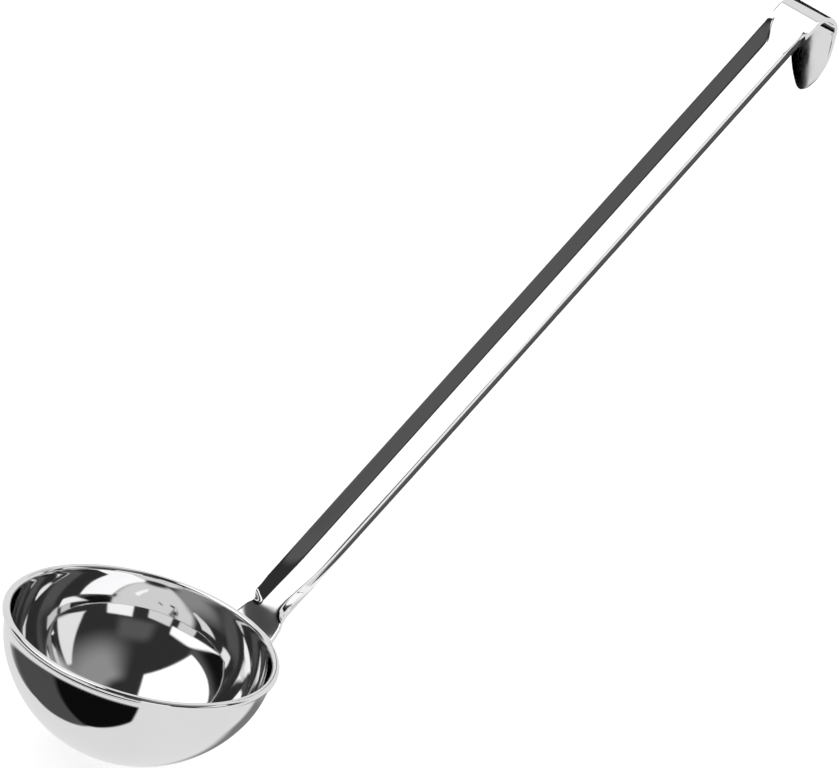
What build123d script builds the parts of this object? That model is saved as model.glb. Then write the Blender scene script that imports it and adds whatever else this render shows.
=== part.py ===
from build123d import *
from math import asin, atan2, cos, degrees, radians, sin, sqrt, tan
import os

# Soup ladle in polished sheet steel: a deep round bowl with a rolled rim, and a
# long pressed handle that is spot-welded to the back of the bowl and ends in a hook.
# Millimetres. +Z is up and is the axis of the bowl, whose rim lies level. The handle
# leans towards +X, and the ladle is the same on both sides of the XZ plane.
# The origin is the centre of the small flat that the bowl rests on.

# Bowl
rim_diameter = 100.0  # over the rolled edge
rim_height = 45.9  # top of the rolled edge above the base
bead_diameter = 2.8  # rolled edge, turned outwards
bowl_sheet = 1.2
base_flat_diameter = 18.0
turn_radius_share = 0.928  # where wall meets bottom, of the wall's radius
turn_height_share = 0.64  # the same point, of the height where the wall starts

# Handle, a strip of sheet with its edges pressed up into a channel
handle_sheet = 1.5
handle_lean = 36.67  # degrees outwards from the bowl's axis
shank_length = 303.0  # from the root bend to the hook bend
channel_width = 20.4
channel_floor_width = 10.3
channel_depth = 4.0
channel_wall_angle = 45.0  # degrees up from the floor
fold_radius = 1.0  # inside the folds
floor_sink = 1.75  # floor below the face of the flat root

# Root of the handle, below and just above the rim
leave_drop = 7.0  # below the rolled edge's centre, where the strip leaves the wall
root_bend_radius = 10.0
waist_width = 17.6
waist_distance = 9.5  # above the root bend
root_run_out = 4.6  # from the waist to the full channel
tang_width = 24.0
tang_length = 15.0  # of the part that lies on the wall
flare_width = 22.2  # at the end of the root bend
flare_rise_share = 0.25  # of the tang's curve that is left at the end of the root bend

# Hook
hook_flat_length = 4.9  # flat strip before the bend
hook_run_out = 9.0  # from the full channel to the flat strip
hook_rise = 1.7  # face of the flat strip above that of the root
hook_inner_radius = 5.4
hook_bend_angle = 136.4  # degrees
tongue_length = 26.6
tongue_side_radius = 30.0
tongue_tip_radius = 3.0
run_out_margin = 0.9  # width left of each channel wall where it runs out
run_out_lip = 0.02  # height left of it there

# Spot welds between the tang and the wall
weld_diameter = 4.6
weld_spacing = 11.0  # between the upper two
weld_top_drop = 4.0  # upper two below the point where the strip leaves the wall
weld_row_spacing = 5.5  # from the upper two down to the lower one
weld_depth = 0.6  # into the bowl's sheet
weld_dimple = 0.2  # end of the weld below the tang's outer face

# Fits
faying_gap = 0.05  # between the tang and the wall
weld_clearance = 0.02  # around a weld, on its radius
overrun = 5.0  # how far a cutting shape runs past what it cuts

# Places on the bowl that follow from the sizes above
rim_radius = rim_diameter / 2
bead_radius = bead_diameter / 2
bead_height = rim_height - bead_radius
wall_radius = rim_radius - bead_diameter + bowl_sheet
wall_top = bead_height - bead_radius
turn_x = turn_radius_share * wall_radius
turn_z = turn_height_share * wall_top
wall_in = wall_radius - turn_x
wall_down = wall_top - turn_z
wall_arc_radius = (wall_in**2 + wall_down**2) / (2 * wall_in)
wall_arc_x = wall_radius - wall_arc_radius
turn_angle = asin(wall_down / wall_arc_radius)
chord_x = turn_x - base_flat_diameter / 2
bottom_arc_radius = (chord_x**2 + turn_z**2) / (2 * (chord_x * cos(turn_angle) - turn_z * sin(turn_angle)))
bottom_arc_x = turn_x - bottom_arc_radius * cos(turn_angle)
bottom_arc_z = turn_z + bottom_arc_radius * sin(turn_angle)


def form_line(inset):
    """The bowl's outer form moved inwards by inset: a wall arc and a bottom arc."""
    wall = CenterArc((wall_arc_x, wall_top), wall_arc_radius - inset, 0, -degrees(turn_angle))
    radius = bottom_arc_radius - inset
    fall = bottom_arc_z - inset
    end_angle = atan2(-fall, sqrt(radius**2 - fall**2))
    bottom = CenterArc(
        (bottom_arc_x, bottom_arc_z), radius, -degrees(turn_angle), degrees(end_angle + turn_angle)
    )
    return wall, bottom


# Bowl: one drawn sheet of even thickness, its edge rolled outwards
with BuildPart() as bowl:
    with BuildSketch(Plane.XZ):
        with BuildLine():
            outer_wall, outer_bottom = form_line(0)
            inner_wall, inner_bottom = form_line(bowl_sheet)
            Polyline(outer_bottom @ 1, (0, 0), (0, bowl_sheet), inner_bottom @ 1)
            Line(inner_wall @ 0, outer_wall @ 0)
        make_face()
        with Locations((wall_radius - bowl_sheet / 2, wall_top + bead_radius / 2)):
            Rectangle(bowl_sheet, bead_radius)
        with Locations((rim_radius - bead_radius, bead_height)):
            Circle(bead_radius)
    revolve(axis=Axis.Z)

# Places on the handle's front face, which is the side towards the bowl
lean = radians(handle_lean)
leave_height = bead_height - leave_drop
leave_fall = wall_top - leave_height


def wall_reach(standoff):
    """Distance from the axis where the strip leaves the wall, for a surface off the wall."""
    return wall_arc_x + sqrt((wall_arc_radius + standoff) ** 2 - leave_fall**2)


leave_x = wall_reach(faying_gap)
leave_angle = asin(leave_fall / (wall_arc_radius + faying_gap))
tang_bottom = leave_height - tang_length
weld_top_height = leave_height - weld_top_drop


def strip_plane(angle, x, z):
    """Plane across the strip: its x runs along +Y, its y towards the front face."""
    return Plane(origin=(x, 0, z), x_dir=(0, 1, 0), z_dir=(sin(angle), 0, cos(angle)))


def bend_plane(angle):
    """Plane across the root bend, where the strip leans at this angle."""
    x = leave_x + root_bend_radius * (cos(leave_angle) - cos(angle))
    z = leave_height + root_bend_radius * (sin(angle) - sin(leave_angle))
    return strip_plane(angle, x, z)


def shank_plane(distance):
    """Plane across the straight shank, at a distance above the root bend."""
    foot = bend_plane(lean).origin
    return strip_plane(lean, foot.X + distance * sin(lean), foot.Z + distance * cos(lean))


def strip_outline(half, front_middle, front_edge, back_middle, back_edge):
    """Section of the strip whose edges stand forward of its middle."""
    if front_edge == front_middle:
        front = Line((-half, front_edge), (half, front_edge))
        back = Line((half, back_edge), (-half, back_edge))
    else:
        front = ThreePointArc((-half, front_edge), (0, front_middle), (half, front_edge))
        back = ThreePointArc((half, back_edge), (0, back_middle), (-half, back_edge))
    Line(front @ 1, back @ 0)
    Line(back @ 1, front @ 0)


# Channel section, from the middle of its floor out to an edge
wall_tilt = radians(channel_wall_angle)
fold_reach = fold_radius * tan(wall_tilt / 2)
floor_level = -floor_sink
edge_level = channel_depth - floor_sink
half_floor = channel_floor_width / 2
half_edge = half_floor + channel_depth / tan(wall_tilt)
sheet_out = Vector(sin(wall_tilt), -cos(wall_tilt)) * handle_sheet


def channel_half(side):
    """Corner points of half a channel section, from its floor out to the edge."""
    fold_in = Vector(half_floor - fold_reach, floor_level)
    fold_out = Vector(half_floor + fold_reach * cos(wall_tilt), floor_level + fold_reach * sin(wall_tilt))
    edge = Vector(half_edge, edge_level)
    front = [fold_in, fold_out, edge]
    back = [Vector(fold_in.X, fold_in.Y - handle_sheet), fold_out + sheet_out, edge + sheet_out]
    return [[Vector(side * p.X, p.Y) for p in points] for points in (front, back)]


def channel_section():
    """Closed outline of the channel, folds as arcs."""
    right_front, right_back = channel_half(1)
    left_front, left_back = channel_half(-1)
    for right, left in ((right_front, left_front), (right_back, left_back)):
        Line(left[2], left[1])
        TangentArc(left[1], left[0], tangent=left[1] - left[2])
        Line(left[0], right[0])
        TangentArc(right[0], right[1], tangent=right[0] - left[0])
        Line(right[1], right[2])
    Line(right_front[2], right_back[2])
    Line(left_back[2], left_front[2])



# The last stretch of strip before each flat end: the fold runs out through the edge
def run_out_half(side, width, level):
    """Corner points of half a flat strip, matched one to one with the channel's."""
    edge = width / 2
    fold = edge - run_out_margin
    places = [(fold - 2 * fold_reach, 0), (fold, run_out_lip / 4), (edge, run_out_lip)]
    return [[Vector(side * x, y + rise) for x, rise in places] for y in (level, level - handle_sheet)]


def run_out_section(width, level):
    """Closed outline of the flat strip, in as many edges as the channel has."""
    right_front, right_back = run_out_half(1, width, level)
    left_front, left_back = run_out_half(-1, width, level)
    for right, left in ((right_front, left_front), (right_back, left_back)):
        Polyline(left[2], left[1], left[0], right[0], right[1], right[2])
    Line(right_front[2], right_back[2])
    Line(left_back[2], left_front[2])


channel_start = waist_distance + root_run_out
hook_flat_start = shank_length - hook_flat_length
channel_end = hook_flat_start - hook_run_out
hook_level = hook_rise
hook_width = channel_width

weld_places = [
    (weld_top_height, weld_spacing / 2),
    (weld_top_height, -weld_spacing / 2),
    (weld_top_height - weld_row_spacing, 0),
]


def weld_plane(height, sideways):
    """Plane on the bowl's outer face, looking outwards, at a weld."""
    fall = asin((wall_top - height) / wall_arc_radius)
    reach = wall_arc_x + wall_arc_radius * cos(fall)
    turn = asin(sideways / reach)
    outwards = Vector(cos(fall) * cos(turn), cos(fall) * sin(turn), -sin(fall))
    return Plane(origin=(reach * cos(turn), sideways, height), x_dir=(-sin(turn), cos(turn), 0), z_dir=outwards)


# Tang: the end of the strip, curved to lie on the wall
half_tang = tang_width / 2
tang_turn = 2 * asin(half_tang / wall_radius)  # more than half its sweep about the axis

with BuildPart() as tang:
    across = Vector(-sin(tang_turn), -cos(tang_turn), 0)
    with BuildSketch(Plane(origin=(0, 0, 0), x_dir=(cos(tang_turn), -sin(tang_turn), 0), z_dir=across)):
        with BuildLine():
            near_wall, near_bottom = form_line(-faying_gap)
            far_wall, far_bottom = form_line(-faying_gap - handle_sheet)
            Line(near_wall @ 0, far_wall @ 0)
            Line(near_bottom @ 1, far_bottom @ 1)
        make_face()
    revolve(axis=Axis.Z, revolution_arc=degrees(2 * tang_turn))
    with BuildSketch(Plane.YZ):
        with BuildLine():
            round_top = tang_bottom + half_tang
            round_end = ThreePointArc((-half_tang, round_top), (0, tang_bottom), (half_tang, round_top))
            Polyline(round_end @ 1, (half_tang, leave_height), (-half_tang, leave_height), round_end @ 0)
        make_face()
    extrude(amount=rim_diameter, mode=Mode.INTERSECT)

leave_back = wall_reach(faying_gap + handle_sheet)
front_rise = leave_x - sqrt(leave_x**2 - half_tang**2)
back_edge_x = sqrt(leave_back**2 - half_tang**2)

with BuildPart() as handle:
    # Channel
    with BuildSketch(shank_plane(channel_start)) as channel_foot:
        with BuildLine():
            channel_section()
        make_face()
    extrude(channel_foot.sketch, amount=channel_end - channel_start)

    # Lower run-out, from the channel to the flat waist
    with BuildSketch(shank_plane(waist_distance)) as waist_folds:
        with BuildLine():
            run_out_section(waist_width, 0)
        make_face()
    loft([waist_folds.sketch.face(), channel_foot.sketch.face()], ruled=True)

    # Root: from the waist down round the bend to the tang
    with BuildSketch(shank_plane(waist_distance)) as waist:
        with BuildLine():
            strip_outline(waist_width / 2, 0, 0, -handle_sheet, -handle_sheet)
        make_face()
    with BuildSketch(bend_plane(lean)) as bend_top:
        with BuildLine():
            rise = front_rise * flare_rise_share
            strip_outline(flare_width / 2, 0, rise, -handle_sheet, rise - handle_sheet)
        make_face()
    with BuildSketch(bend_plane((lean + leave_angle) / 2)) as bend_middle:
        with BuildLine():
            rise = front_rise * (1 + flare_rise_share) / 2
            strip_outline((half_tang + flare_width / 2) / 2, 0, rise, -handle_sheet, rise - handle_sheet)
        make_face()
    with BuildSketch(Plane(origin=(0, 0, leave_height), x_dir=(0, 1, 0), z_dir=(0, 0, 1))) as bend_foot:
        with BuildLine():
            strip_outline(half_tang, -leave_x, front_rise - leave_x, -leave_back, -back_edge_x)
        make_face()
    loft([bend_foot.sketch.face(), bend_middle.sketch.face(), bend_top.sketch.face(), waist.sketch.face()])
    add(tang.part)

    # Upper run-out and the flat strip before the hook
    with BuildSketch(shank_plane(channel_end)) as channel_head:
        with BuildLine():
            channel_section()
        make_face()
    with BuildSketch(shank_plane(hook_flat_start)) as hook_folds:
        with BuildLine():
            run_out_section(hook_width, hook_level)
        make_face()
    loft([channel_head.sketch.face(), hook_folds.sketch.face()], ruled=True)
    with BuildSketch(shank_plane(hook_flat_start)) as hook_flat:
        with Locations((0, hook_level - handle_sheet / 2)):
            Rectangle(hook_width, handle_sheet)
    extrude(hook_flat.sketch, amount=hook_flat_length)

    # Hook bend
    hook_plane = shank_plane(shank_length)
    hook_centre = hook_plane.origin + hook_plane.y_dir * (hook_level - handle_sheet - hook_inner_radius)
    with BuildSketch(hook_plane) as bend_start:
        with Locations((0, hook_level - handle_sheet / 2)):
            Rectangle(hook_width, handle_sheet)
    revolve(bend_start.sketch, axis=Axis(hook_centre, (0, 1, 0)), revolution_arc=hook_bend_angle)

    # Tongue
    tongue_lean = lean + radians(hook_bend_angle)
    tongue_face = Vector(-cos(tongue_lean), 0, sin(tongue_lean))
    tongue_start = hook_centre + tongue_face * (hook_inner_radius + handle_sheet)
    side_centre = hook_width / 2 - tongue_side_radius
    tip_rise = sqrt((tongue_side_radius - tongue_tip_radius) ** 2 - side_centre**2)
    tip_centre = tongue_length - tongue_tip_radius
    side_start = tip_centre - tip_rise
    side_sweep = degrees(atan2(tip_rise, -side_centre))
    with BuildSketch(Plane(origin=tongue_start, x_dir=(0, 1, 0), z_dir=-tongue_face)) as tongue:
        with BuildLine():
            right = CenterArc((side_centre, side_start), tongue_side_radius, 0, side_sweep)
            left = CenterArc((-side_centre, side_start), tongue_side_radius, 180, -side_sweep)
            tip = CenterArc((0, tip_centre), tongue_tip_radius, side_sweep, 180 - 2 * side_sweep)
            Polyline(right @ 0, (hook_width / 2, 0), (-hook_width / 2, 0), left @ 0)
        make_face()
    extrude(tongue.sketch, amount=handle_sheet)

# Spot welds, each a plug through the tang and part of the way into the wall
weld_radius = weld_diameter / 2
weld_reach = faying_gap + handle_sheet - weld_dimple

with BuildPart() as spot_welds:
    for height, sideways in weld_places:
        with BuildSketch(weld_plane(height, sideways).offset(-weld_depth)):
            Circle(weld_radius)
        extrude(amount=weld_depth + weld_reach)

with BuildPart(mode=Mode.PRIVATE) as weld_holes:
    for height, sideways in weld_places:
        with BuildSketch(weld_plane(height, sideways).offset(-weld_depth - weld_clearance)):
            Circle(weld_radius + weld_clearance)
        extrude(amount=weld_depth + weld_reach + overrun)

with handle:
    add(weld_holes.part, mode=Mode.SUBTRACT)
with bowl:
    add(weld_holes.part, mode=Mode.SUBTRACT)

bowl.part.label = "bowl"
handle.part.label = "handle"
spot_welds.part.label = "spot_welds"

os.makedirs("parts", exist_ok=True)
export_step(bowl.part, "parts/bowl.step")
export_step(handle.part, "parts/handle.step")
export_step(spot_welds.part, "parts/spot_welds.step")
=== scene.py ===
from math import asin, atan2, cos, pi, radians, sin, sqrt

import bpy
from mathutils import Matrix, Vector


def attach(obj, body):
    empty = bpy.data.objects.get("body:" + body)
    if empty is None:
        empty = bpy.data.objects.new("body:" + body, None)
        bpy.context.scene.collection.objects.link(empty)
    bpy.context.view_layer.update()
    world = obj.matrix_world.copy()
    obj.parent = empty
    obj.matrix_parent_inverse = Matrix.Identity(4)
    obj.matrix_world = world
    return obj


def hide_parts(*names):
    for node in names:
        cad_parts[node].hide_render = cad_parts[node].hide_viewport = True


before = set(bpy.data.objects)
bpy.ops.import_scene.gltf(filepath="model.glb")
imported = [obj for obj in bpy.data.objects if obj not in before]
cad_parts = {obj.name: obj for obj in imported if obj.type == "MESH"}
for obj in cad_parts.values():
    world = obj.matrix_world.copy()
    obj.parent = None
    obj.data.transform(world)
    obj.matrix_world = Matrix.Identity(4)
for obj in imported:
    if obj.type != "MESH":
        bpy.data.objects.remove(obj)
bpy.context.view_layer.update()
mm = 0.001

# Sizes in millimetres, as in the solids. The origin is the centre of the flat under
# the bowl, +Z is the bowl's axis and the handle leans towards +X.
rim_radius = 50.0
bead_radius = 1.4
bead_height = 44.5
sheet = 1.2
wall_radius = 48.4
wall_top = 43.1
wall_arc_radius = 36.285
bottom_arc_radius = 49.606
flat_radius = 9.0

strip_sheet = 1.5
off_wall = 0.05
lean = radians(36.67)
leave_height = 37.5
root_bend_radius = 10.0
tang_length = 16.2
shank_length = 303.0
hook_width = 20.4
hook_level = 1.7
hook_inner_radius = 5.4
hook_turn = radians(136.4)
tongue_length = 26.6
tongue_side_radius = 30.0
tip_radius = 3.0
weld_radius = 2.32
weld_places = [(33.5, 5.5), (33.5, -5.5), (28.0, 0.0)]

wall_arc_x = wall_radius - wall_arc_radius
turn_x = 0.928 * wall_radius
turn_z = 0.64 * wall_top
turn = asin((wall_top - turn_z) / wall_arc_radius)
bottom_arc_x = turn_x - bottom_arc_radius * cos(turn)
bottom_arc_z = turn_z + bottom_arc_radius * sin(turn)


# Helpers

def clear_selection():
    if bpy.context.object and bpy.context.object.mode != "OBJECT":
        bpy.ops.object.mode_set(mode="OBJECT")
    bpy.ops.object.select_all(action="DESELECT")


def finished(obj, name, slot_name, *nodes):
    """Names a piece, puts its place into its mesh and hands it to the ladle's body."""
    clear_selection()
    obj.select_set(True)
    bpy.context.view_layer.objects.active = obj
    bpy.ops.object.transform_apply(location=True, rotation=True, scale=True)
    obj.name = name
    obj.data.name = name
    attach(obj, "root")
    if nodes:
        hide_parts(*nodes)
    return obj


def apply_modifier(obj, kind, **settings):
    clear_selection()
    obj.select_set(True)
    bpy.context.view_layer.objects.active = obj
    modifier = obj.modifiers.new(kind.title(), kind)
    for key, value in settings.items():
        setattr(modifier, key, value)
    bpy.ops.object.modifier_apply(modifier=modifier.name)


def lone_point(place):
    """A mesh of one point in edit mode, selected, ready to be drawn out."""
    clear_selection()
    bpy.ops.mesh.primitive_plane_add(size=mm, location=place)
    bpy.ops.object.mode_set(mode="EDIT")
    bpy.ops.mesh.merge(type="CENTER")
    return bpy.context.object


def pull(step):
    bpy.ops.mesh.extrude_region_move(TRANSFORM_OT_translate={"value": step})


# Bowl

def form(inset, count):
    """Points down the wall and round to the flat, inset from the outer form."""
    points = []
    for k in range(count + 1):
        a = turn * k / count
        reach = wall_arc_radius - inset
        points.append((wall_arc_x + reach * cos(a), wall_top - reach * sin(a)))
    reach = bottom_arc_radius - inset
    end = asin((bottom_arc_z - inset) / reach)
    for k in range(1, count + 1):
        a = turn + (end - turn) * k / count
        points.append((bottom_arc_x + reach * cos(a), bottom_arc_z - reach * sin(a)))
    return points


def bead():
    """The rolled edge, from the inner wall over the top to the outer wall."""
    stop = -0.5 * pi - asin((bead_radius - sheet) / bead_radius)
    count = 24
    points = []
    for k in range(count + 1):
        a = pi + (stop - pi) * k / count
        x = rim_radius - bead_radius + bead_radius * cos(a)
        points.append((x, bead_height + bead_radius * sin(a)))
    return points


middle = flat_radius / 2
form_steps = 22
inside = [(0, sheet), (middle, sheet)] + form(sheet, form_steps)[::-1]
outside = form(0, form_steps) + [(middle, 0), (0, 0)]
profile = [Vector((x * mm, 0, z * mm)) for x, z in inside + bead() + outside]
bowl = lone_point(profile[0])
for a, b in zip(profile, profile[1:]):
    pull(b - a)
bpy.ops.mesh.select_all(action="SELECT")
bpy.ops.mesh.spin(steps=240, angle=2 * pi, center=(0, 0, 0), axis=(0, 0, 1))
bpy.ops.mesh.select_all(action="SELECT")
bpy.ops.mesh.remove_doubles(threshold=0.002 * mm)
bpy.ops.mesh.normals_make_consistent(inside=False)
bpy.ops.object.mode_set(mode="OBJECT")
bpy.ops.object.shade_smooth_by_angle(angle=radians(40))
finished(bowl, "bowl_shell", "bowl_steel", "bowl")


# Handle: its face is the side towards the bowl. A place on the strip is its distance
# along the strip from the end of the root bend, across it, and its level above the face.

leave_angle = asin((wall_top - leave_height) / (wall_arc_radius + off_wall))
leave_x = wall_arc_x + (wall_arc_radius + off_wall) * cos(leave_angle)
root_length = root_bend_radius * (lean - leave_angle)
hook_outer_radius = hook_inner_radius + strip_sheet
half_hook = hook_width / 2
root_hug = 0.25  # how much of the bowl's roundness is left where the root bend ends
hug_end = 9.5  # where the strip is flat across


def bend_point(angle):
    x = leave_x + root_bend_radius * (cos(leave_angle) - cos(angle))
    return x, leave_height + root_bend_radius * (sin(angle) - sin(leave_angle))


shank_x, shank_z = bend_point(lean)
strip_along = Vector((sin(lean), 0, cos(lean)))
strip_face = Vector((-cos(lean), 0, sin(lean)))
across = Vector((0, 1, 0))
shank_start = Vector((shank_x, 0, shank_z))
bend_start = shank_start + strip_along * shank_length
hook_centre = bend_start + strip_face * (hook_level - hook_outer_radius)


def root_path(s):
    """Place and lean of the strip's face below the shank, round the bend and down the wall."""
    if s >= -root_length:
        a = lean + s / root_bend_radius
        x, z = bend_point(a)
        return x, z, a
    t = -root_length - s
    r = wall_arc_radius + off_wall
    wall_length = r * (turn - leave_angle)
    if t < wall_length:
        a = leave_angle + t / r
        return wall_arc_x + r * cos(a), wall_top - r * sin(a), a
    r = bottom_arc_radius + off_wall
    a = turn + (t - wall_length) / r
    return bottom_arc_x + r * cos(a), bottom_arc_z - r * sin(a), a


def hug(s):
    """How much of the bowl's roundness the strip takes on: all of it on the wall."""
    if s <= -root_length:
        return 1.0
    if s <= 0:
        return root_hug - (1 - root_hug) * s / root_length
    return root_hug * max(1 - s / hug_end, 0) ** 2


def rolled(s, y, n):
    """A place on the hook, rolled round its axis."""
    run = s - shank_length
    angle = min(run / hook_outer_radius, hook_turn)
    outwards = strip_face * cos(angle) + strip_along * sin(angle)
    onwards = strip_along * cos(angle) - strip_face * sin(angle)
    reach = hook_outer_radius + n - hook_level
    straight = run - hook_outer_radius * angle
    return hook_centre + across * y + outwards * reach + onwards * straight


def wrapped(s, y, n):
    """Turns a place on the flat strip into its place on the ladle."""
    if s > shank_length:
        return rolled(s, y, n)
    if s >= 0:
        x, z, t = shank_x + s * sin(lean), shank_z + s * cos(lean), lean
    else:
        x, z, t = root_path(s)
    flat = Vector((x - n * cos(t), y, z + n * sin(t)))
    share = hug(s)
    if share == 0:
        return flat
    round_turn = y / x
    curved = Vector(((x - n) * cos(round_turn), (x - n) * sin(round_turn), z))
    return flat.lerp(curved, share)


def half_row(width, floor, edge, fold):
    """Half a row across the strip: distances from the middle and levels of the face."""
    out, up = width - fold, edge - floor
    return [
        (0, floor),
        (0.55 * fold, floor),
        (fold - 0.16 * out, floor),
        (fold, floor + 0.02 * up),
        (fold + 0.16 * out, floor + 0.16 * up),
        (fold + 0.4 * out, floor + 0.4 * up),
        (width, edge),
    ]


def flat_row(width, level=0.0):
    return half_row(width, level, level, 0.55 * width)


bend_end = hook_outer_radius * hook_turn
least_half = 0.5  # half width of the tongue's last row
side_x = half_hook - tongue_side_radius
tip_centre = bend_end + tongue_length - tip_radius
tip_rise = sqrt((tongue_side_radius - tip_radius) ** 2 - side_x**2)
side_start = tip_centre - tip_rise
tip_start = tip_centre + tip_radius * sin(atan2(tip_rise, -side_x))


def tongue_half(d):
    """Half the tongue's width at the distance d past the start of the hook's bend."""
    if d <= side_start:
        return half_hook
    if d <= tip_start:
        return side_x + sqrt(tongue_side_radius**2 - (d - side_start) ** 2)
    return max(sqrt(max(tip_radius**2 - (d - tip_centre) ** 2, 0)), least_half)


# Rows of the strip: distance along it, half width, floor level, edge level, fold's place
channel = (9.15, -1.75, 2.25, 5.15)
tang_end = -root_length - tang_length
rows = [
    (tang_end, flat_row(2.6)),
    (tang_end + 0.9, flat_row(5.0)),
    (tang_end + 2.7, flat_row(7.9)),
    (tang_end + 5.3, flat_row(10.2)),
    (tang_end + 8.7, flat_row(11.6)),
    (tang_end + 12.7, flat_row(12.0)),
    (-root_length - 0.6, flat_row(12.0)),
    (-root_length + 1.0, flat_row(11.95, -0.03)),
    (-root_length / 2, flat_row(11.7, -0.09)),
    (-0.9, flat_row(11.4, -0.13)),
    (1.0, flat_row(11.1, -0.12)),
    (3.0, flat_row(10.7, -0.1)),
    (5.2, flat_row(10.2, -0.06)),
    (7.0, flat_row(9.8, -0.03)),
    (8.1, flat_row(9.1, -0.01)),
    (9.1, half_row(8.3, 0, 0.01, 4.6)),
    (10.1, half_row(8.3, 0, 0.4, 4.5)),
    (11.3, half_row(8.75, -0.01, 1.5, 4.2)),
    (12.5, half_row(9.1, -0.03, 2.15, 3.95)),
    (14.0, half_row(9.15, -0.07, 2.25, 3.9)),
    (16.0, half_row(9.15, -0.14, 2.25, 3.9)),
    (18.5, half_row(9.15, -0.27, 2.25, 4.0)),
    (21.5, half_row(9.15, -0.52, 2.25, 4.2)),
    (25.0, half_row(9.15, -0.9, 2.25, 4.45)),
    (30.0, half_row(9.15, -1.4, 2.25, 4.8)),
    (36.0, half_row(9.15, -1.66, 2.25, 5.08)),
    (44.0, half_row(*channel)),
    (60.0, half_row(*channel)),
    (150.0, half_row(*channel)),
    (240.0, half_row(*channel)),
    (286.0, half_row(*channel)),
    (288.1, half_row(9.15, -1.7, 2.25, 5.2)),
    (289.9, half_row(9.15, -1.2, 2.25, 5.7)),
    (291.9, half_row(9.15, -0.45, 2.2, 6.5)),
    (293.9, half_row(9.3, 0.35, 2.15, 7.3)),
    (295.7, half_row(9.55, 1.05, 2.05, 7.6)),
    (297.3, half_row(9.85, 1.55, 1.9, 7.6)),
    (298.7, half_row(10.1, hook_level, 1.73, 7.6)),
    (299.9, flat_row(half_hook, hook_level)),
]
bend_rows = (0, 2.8, 5.6, 8.4, 11.2, 14.0, 16.4)
tongue_rows = (18.6, 21.2, 24.0, 27.0, 30.0, 33.0, 36.0, 38.5, 40.4, 41.6, 42.4, 42.95)
for d in bend_rows + tongue_rows:
    rows.append((shank_length + d, flat_row(tongue_half(d), hook_level)))


def whole_row(half):
    return [(-y, n) for y, n in half[:0:-1]] + list(half)


# The flat strip is drawn out row by row, along X, with Y across it and Z its level
first = whole_row(rows[0][1])
strip = lone_point((rows[0][0] * mm, first[0][0] * mm, first[0][1] * mm))
for a, b in zip(first, first[1:]):
    pull((0, (b[0] - a[0]) * mm, (b[1] - a[1]) * mm))
bpy.ops.mesh.select_all(action="SELECT")
for (before, _), (here, row) in zip(rows, rows[1:]):
    pull(((here - before) * mm, 0, 0))
    bpy.ops.object.mode_set(mode="OBJECT")
    picked = sorted((v for v in strip.data.vertices if v.select), key=lambda v: v.co.y)
    for vertex, (y, n) in zip(picked, whole_row(row)):
        vertex.co.y = y * mm - strip.location.y
        vertex.co.z = n * mm - strip.location.z
    bpy.ops.object.mode_set(mode="EDIT")
bpy.ops.object.mode_set(mode="OBJECT")
bpy.ops.object.transform_apply(location=True, rotation=True, scale=True)
apply_modifier(strip, "SUBSURF", levels=2, render_levels=2)
# The floor sinks later on the right side than on the left: most at one place along the
# strip, and less away from it and towards the edges
floor_lag, lag_place, lag_length, lag_width = 0.5, 16, 10, 8
for vertex in strip.data.vertices:
    s, y, n = vertex.co / mm
    late = max(1 - abs(s - lag_place) / lag_length, 0) * max(1 - (y / lag_width) ** 2, 0)
    vertex.co = wrapped(s - floor_lag * y * late, y, n) * mm
bpy.ops.object.mode_set(mode="EDIT")
bpy.ops.mesh.select_all(action="SELECT")
bpy.ops.mesh.normals_make_consistent(inside=False)
bpy.ops.object.mode_set(mode="OBJECT")
half_way = (shank_start + strip_along * shank_length / 2) * mm
nearest = min(strip.data.polygons, key=lambda p: (p.center - half_way).length)
if nearest.normal.dot(strip_face) < 0:
    strip.data.flip_normals()
apply_modifier(strip, "SOLIDIFY", thickness=strip_sheet * mm, offset=-1, use_even_offset=True)
rounding = {"width": 0.3 * mm, "segments": 3, "limit_method": "ANGLE", "angle_limit": radians(50)}
apply_modifier(strip, "BEVEL", **rounding)


def weld_cutter(height, sideways):
    """A round bar across the tang, where a spot weld shows."""
    fall = asin((wall_top - height) / wall_arc_radius)
    reach = wall_arc_x + wall_arc_radius * cos(fall)
    swing = asin(sideways / reach)
    outwards = Vector((cos(fall) * cos(swing), cos(fall) * sin(swing), -sin(fall)))
    clear_selection()
    bpy.ops.mesh.primitive_cylinder_add(
        vertices=64,
        radius=weld_radius * mm,
        depth=8 * mm,
        location=Vector((reach * cos(swing), sideways, height)) * mm,
        rotation=outwards.to_track_quat("Z", "Y").to_euler(),
    )
    return bpy.context.object


for height, sideways in weld_places:
    cutter = weld_cutter(height, sideways)
    apply_modifier(strip, "BOOLEAN", operation="DIFFERENCE", solver="EXACT", object=cutter)
    bpy.data.objects.remove(cutter)
clear_selection()
strip.select_set(True)
bpy.context.view_layer.objects.active = strip
bpy.ops.object.shade_smooth_by_angle(angle=radians(40))
finished(strip, "handle_strip", "handle_steel", "handle")


# Finishes

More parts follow.
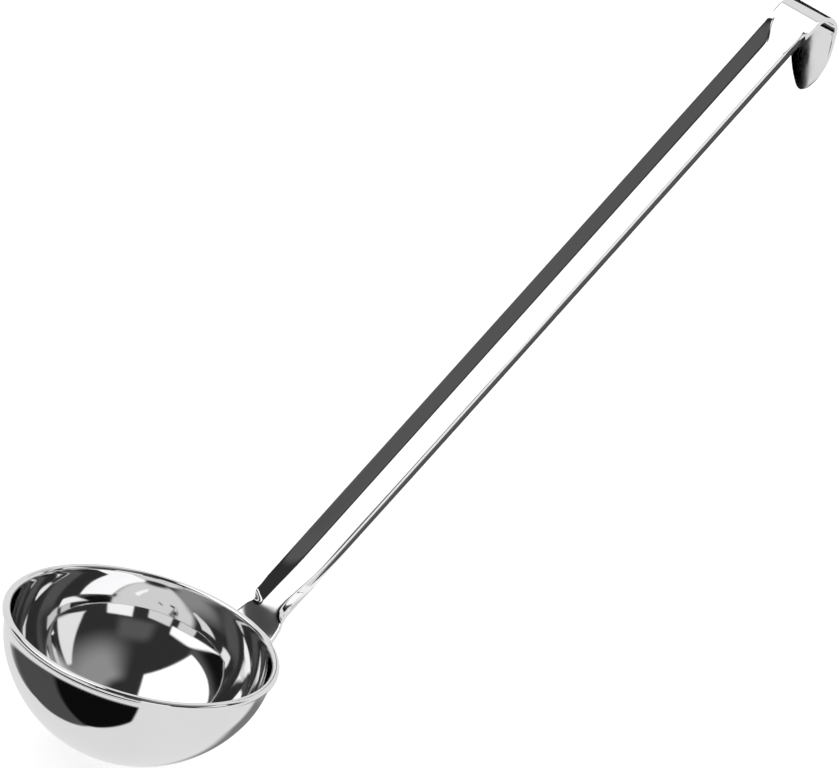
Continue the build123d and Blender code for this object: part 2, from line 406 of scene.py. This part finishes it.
class Wire:
    """A node's socket that can be added, subtracted, multiplied and divided."""

    def __init__(self, tree, socket):
        self.tree = tree
        self.socket = socket

    def node(self, kind, settings=None, inputs=None, output=0):
        new = self.tree.nodes.new(kind)
        for key, value in (settings or {}).items():
            setattr(new, key, value)
        for key, value in (inputs or {}).items():
            if isinstance(value, Wire):
                self.tree.links.new(value.socket, new.inputs[key])
            else:
                new.inputs[key].default_value = value
        return Wire(self.tree, new.outputs[output])

    def math(self, operation, *values):
        return self.node("ShaderNodeMath", {"operation": operation}, dict(enumerate(values)))

    def __add__(self, other):
        return self.math("ADD", self, other)

    def __sub__(self, other):
        return self.math("SUBTRACT", self, other)

    def __mul__(self, other):
        return self.math("MULTIPLY", self, other)

    def __truediv__(self, other):
        return self.math("DIVIDE", self, other)

    def __rsub__(self, other):
        return self.math("SUBTRACT", other, self)

    def __abs__(self):
        return self.math("ABSOLUTE", self)

    __radd__ = __add__
    __rmul__ = __mul__

    def rise(self, low, high):
        """0 below low, 1 above high, smooth between."""
        settings = {"interpolation_type": "SMOOTHSTEP", "clamp": True}
        return self.node("ShaderNodeMapRange", settings, {0: self, 1: low, 2: high, 3: 0.0, 4: 1.0})

    def along(self, vector):
        settings = {"operation": "DOT_PRODUCT"}
        return self.node("ShaderNodeVectorMath", settings, {0: self, 1: tuple(vector)}, "Value")

    def noise(self, scale, detail):
        return self.node("ShaderNodeTexNoise", None, {"Vector": self, "Scale": scale, "Detail": detail})

    def feed(self, shader, name):
        self.tree.links.new(self.socket, shader.inputs[name])


def new_material(name):
    material = bpy.data.materials.new(name)
    material.use_nodes = True
    tree = material.node_tree
    shader = next(n for n in tree.nodes if n.type == "BSDF_PRINCIPLED")
    place = tree.nodes.new("ShaderNodeTexCoord")
    return material, shader, Wire(tree, place.outputs["Object"])


def colours(share, low, high):
    settings = {"data_type": "RGBA"}
    return share.node("ShaderNodeMix", settings, {0: share, 6: (*low, 1), 7: (*high, 1)}, 2)


def polish(shader, place, marks, haze_level, wear):
    """Mirror polish: soft haze, faint waves, fine marks, and scuffs where it wears."""
    haze = place.noise(160.0, 4.0).rise(0.35, 0.75)
    stain = place.noise(45.0, 3.0).rise(0.35, 0.8)
    scuffs = place.noise(1100.0, 5.0).rise(0.52, 0.66) * wear
    shader.inputs["Metallic"].default_value = 1
    tint = colours(stain * 0.5 + scuffs * 0.5, (0.88, 0.88, 0.885), (0.83, 0.83, 0.84))
    tint.feed(shader, "Base Color")
    (haze * (0.5 * haze_level) + haze_level * 0.75 + scuffs * 0.2).feed(shader, "Roughness")
    waves = place.noise(28.0, 1.0) * 0.1
    height = waves + marks.noise(2200.0, 2.0) * 0.0008 + scuffs * 0.002
    bump = place.node("ShaderNodeBump", None, {"Strength": 1.0, "Distance": mm, "Height": height})
    bump.feed(shader, "Normal")


def bowl_polish():
    """Polished on a lathe: its marks are rings round the bowl's axis."""
    material, shader, place = new_material("bowl_polish")
    x, y, z = [place.along(axis) for axis in ((1, 0, 0), (0, 1, 0), (0, 0, 1))]
    rings = place.node("ShaderNodeCombineXYZ", None, {0: place.math("SQRT", x * x + y * y), 1: z})
    height = z / mm
    polish(shader, place, rings, 0.05, 1 - height.rise(0.2, 4.0) + height.rise(45.4, 45.9) * 0.3)
    return material


def handle_polish():
    """Polished lengthways: its marks run along the strip."""
    material, shader, place = new_material("handle_polish")
    lengthways = place.along(strip_along)
    lines = place.node(
        "ShaderNodeCombineXYZ",
        None,
        {0: lengthways * 0.02, 1: place.along(across), 2: place.along(strip_face)},
    )
    edge = (abs(place.along(across)) / mm).rise(8.8, 9.3)
    rail = (lengthways / mm - shank_start.dot(strip_along)).rise(shank_length, shank_length + 9)
    polish(shader, place, lines, 0.055, edge * 0.3 + rail * 0.3)
    return material


def weld_mark():
    """Where a weld's heat took the polish away."""
    material, shader, place = new_material("weld_mark")
    grain = place.noise(1500.0, 4.0)
    shader.inputs["Metallic"].default_value = 1
    colours(grain.rise(0.3, 0.7), (0.5, 0.49, 0.47), (0.68, 0.68, 0.68)).feed(shader, "Base Color")
    (grain * 0.3 + 0.25).feed(shader, "Roughness")
    bump = place.node("ShaderNodeBump", None, {"Strength": 0.6, "Distance": 0.05 * mm, "Height": grain})
    bump.feed(shader, "Normal")
    return material


def dress(obj, material):
    obj.data.materials.clear()
    obj.data.materials.append(material)


dress(bowl, bowl_polish())
dress(strip, handle_polish())
dress(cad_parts["spot_welds"], weld_mark())


# Studio: what the polished steel mirrors. Directions are azimuths from +X towards +Y
# and elevations, in degrees.

def aim(azimuth, elevation):
    a, e = radians(azimuth), radians(elevation)
    return Vector((cos(a) * cos(e), sin(a) * cos(e), sin(e)))


world = bpy.data.worlds.new("studio")
bpy.context.scene.world = world
world.use_nodes = True
sky_tree = world.node_tree
background = next(n for n in sky_tree.nodes if n.type == "BACKGROUND")
direction = Wire(sky_tree, sky_tree.nodes.new("ShaderNodeTexCoord").outputs["Generated"])
camera_side = -137.5
ahead = direction.along(aim(camera_side, 0))
sideways = direction.along(aim(camera_side + 90, 0))
swing = direction.math("ARCTAN2", sideways, ahead) * (180 / pi)  # azimuth from the camera's side
elevation = direction.math("ARCSINE", direction.along((0, 0, 1))) * (180 / pi)


def half(side, soft=0.02):
    """1 on the side that the vector points to, 0 on the other."""
    return direction.along(side).rise(-soft, soft)


def card(corners, soft=0.02):
    """Share of a flat card in each direction. Its corners are azimuths and elevations."""
    points = [aim(*c) for c in corners]
    centre = sum(points, Vector()).normalized()
    share = 1.0
    for a, b in zip(points, points[1:] + points[:1]):
        side = a.cross(b).normalized()
        share = half(side if side.dot(centre) > 0 else -side, soft) * share
    return share


def cover(under, share, level):
    return under + share * (level - under)


light = direction.node("ShaderNodeValue")
light.socket.default_value = 0.8

# Dark room behind the camera, with a black zenith
light = cover(light, (1 - abs(swing).rise(100, 116)) * elevation.rise(2, 6), 0.03)
light = cover(light, elevation.rise(76, 84), 0.03)

# Grey ceiling on the dark side, and a faint glow above the low windows
grey = swing.rise(5, 55) * elevation.rise(30, 58) * (1 - elevation.rise(70, 80))
light = cover(light, grey * (1 - swing.rise(108, 125)), 0.3)
light = cover(light, card([(-142, 22), (-108, 23), (-106, 40), (-140, 38)], 0.09), 0.1)

# Softbox, with dim ground under its edge
light = cover(light, card([(112, 3), (166, 3), (166, 22), (112, 22)], 0.04), 0.006)
light = cover(light, card([(108, 23), (176, 23), (176, 34), (108, 34)], 0.04), 0.085)
softbox = card([(116, 24), (172, 27), (-157, 66), (117, 81)]) * elevation.rise(28.8, 30.1)
light = cover(light, softbox, 1.25)

# Windows low behind the camera
light = cover(light, card([(150, 12), (180, 26.5), (-157, 26), (-156, 17), (-175, 16.5)]), 1.15)
light = cover(light, card([(-178, 0), (-161, 0), (-161, 17), (-178, 17)]), 0.68)
light = cover(light, card([(-154, 0), (-132, 0), (-133, 17), (-154, 19)]), 0.72)
light = cover(light, card([(-119, 0), (-96, 0), (-96, 19), (-119, 20.5)]), 1.0)
light = cover(light, card([(-76, 16.5), (-47, 15), (-32.5, 43.5), (-38, 46)]), 0.85)

# Dark floor beyond the table's edge
edge_low = aim(100, -50).cross(aim(-118, -52)).normalized()
edge_side = aim(-118 - 90, 0)
past_table = half(edge_low * (1 if edge_low.dot(aim(180, -40)) > 0 else -1)) * half(edge_side)
past_table = past_table * (1 - elevation.rise(-33, -30.5)) * swing.rise(-140, -110)
light = cover(light, past_table, 0.004)
light = cover(light, past_table * (1 - swing.rise(-64, -56)), 0.075)

# Grey smudge low behind the bowl
light = cover(light, card([(2, -25), (38, -25), (38, -42), (2, -42)], 0.08), 0.2)

seen = Wire(sky_tree, sky_tree.nodes.new("ShaderNodeLightPath").outputs["Is Camera Ray"])
cover(light, seen, 1.0).feed(background, "Color")


def glowing(name, colour, level):
    material, shader, place = new_material(name)
    shader.inputs["Base Color"].default_value = (colour, colour, colour, 1)
    shader.inputs["Roughness"].default_value = 1
    shader.inputs["Specular IOR Level"].default_value = 0
    shader.inputs["Emission Color"].default_value = (1, 1, 1, 1)
    shader.inputs["Emission Strength"].default_value = level
    return material


# Table
clear_selection()
bpy.ops.mesh.primitive_plane_add(size=12, location=(0, 0, 0))
table = bpy.context.object
table.name = "table"
table.visible_glossy = False
dress(table, glowing("table_white", 0.9, 0.62))


def screen(name, place, facing, width, height, level):
    """A small card near the hook that only polished steel shows."""
    clear_selection()
    turned = facing.to_track_quat("Z", "Y").to_euler()
    bpy.ops.mesh.primitive_plane_add(size=1, location=place, rotation=turned)
    new = bpy.context.object
    new.name = name
    new.scale = (width, height, 1)
    new.visible_camera = False
    new.visible_diffuse = False
    new.visible_shadow = False
    dress(new, glowing(name + "_surface", 0.0, level))


# Each card stands off a place on the hook, on the side that this place mirrors
ramp_side = aim(136.5, 16)
ramp = (shank_start + strip_along * 293) * mm
screen("white_card", ramp + ramp_side * 0.25, -ramp_side, 0.055, 0.19, 1.2)
tongue_side = aim(130.7, -30.7)
tongue_middle = Vector((0.2419, 0, 0.2696))
screen("tongue_card", tongue_middle + tongue_side * 0.15, -tongue_side, 0.03, 0.05, 0.0)
crest_side = aim(47, 4)
crest = Vector((0.2375, 0, 0.2885))
screen("crest_card", crest + crest_side * 0.05, -crest_side, 0.055, 0.06, 0.02)


# Camera

view_azimuth, view_elevation, view_roll = -135.6, 21.2, radians(17.1)
view_right, view_up, view_distance = 97.42, 88.23, 1301.5  # mm from the rim's centre
back = aim(view_azimuth, view_elevation)
level_right = (-back).cross(Vector((0, 0, 1))).normalized()
level_up = level_right.cross(-back)
right = level_right * cos(view_roll) + level_up * sin(view_roll)
up = level_up * cos(view_roll) - level_right * sin(view_roll)
camera = bpy.data.objects.new("camera", bpy.data.cameras.new("camera"))
bpy.context.scene.collection.objects.link(camera)
place = Vector((0, 0, bead_height)) + view_right * right + view_up * up + view_distance * back
turned_frame = Matrix((right, up, back)).transposed().to_4x4()
camera.matrix_world = Matrix.Translation(place * mm) @ turned_frame
camera.data.lens = 159.16
camera.data.sensor_width = 36
camera.data.sensor_fit = "HORIZONTAL"
camera.data.clip_end = 50
bpy.context.scene.camera = camera
bpy.context.scene.view_settings.view_transform = "Standard"
